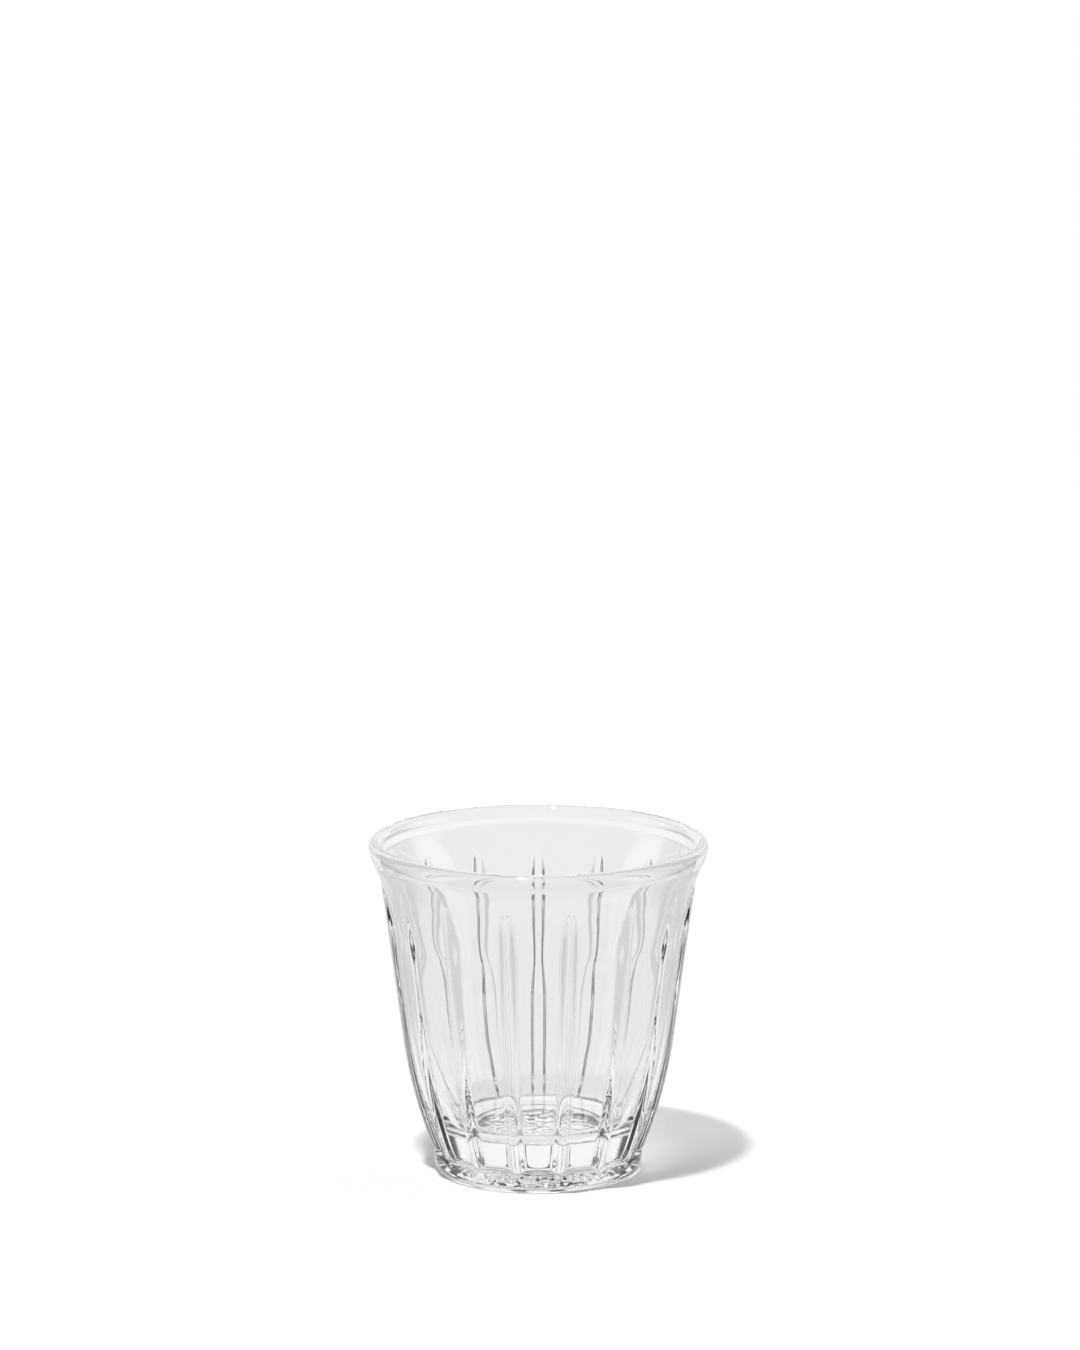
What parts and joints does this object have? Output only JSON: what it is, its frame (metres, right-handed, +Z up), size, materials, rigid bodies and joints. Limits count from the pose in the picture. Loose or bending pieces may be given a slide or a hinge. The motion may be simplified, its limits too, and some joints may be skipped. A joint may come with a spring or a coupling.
{
  "type": "coffee glass",
  "caption": "Short clear pressed-glass coffee tumbler with raised vertical ribs, a flared rounded rim, a smooth bowl and a heavy round foot.",
  "frame": {"origin": "centre of the resting face, on the table", "axes": "+Z up along the glass's axis, out of its mouth; -Y is the front, midway between two ribs; +X to the right seen from the front"},
  "size_m": [0.07, 0.07, 0.07],
  "materials": {
    "clear_glass": "clear pressed soda glass, fire-polished and smooth"
  },
  "bodies": {
    "root": {"tumbler": "clear_glass"}
  },
  "joints": []
}
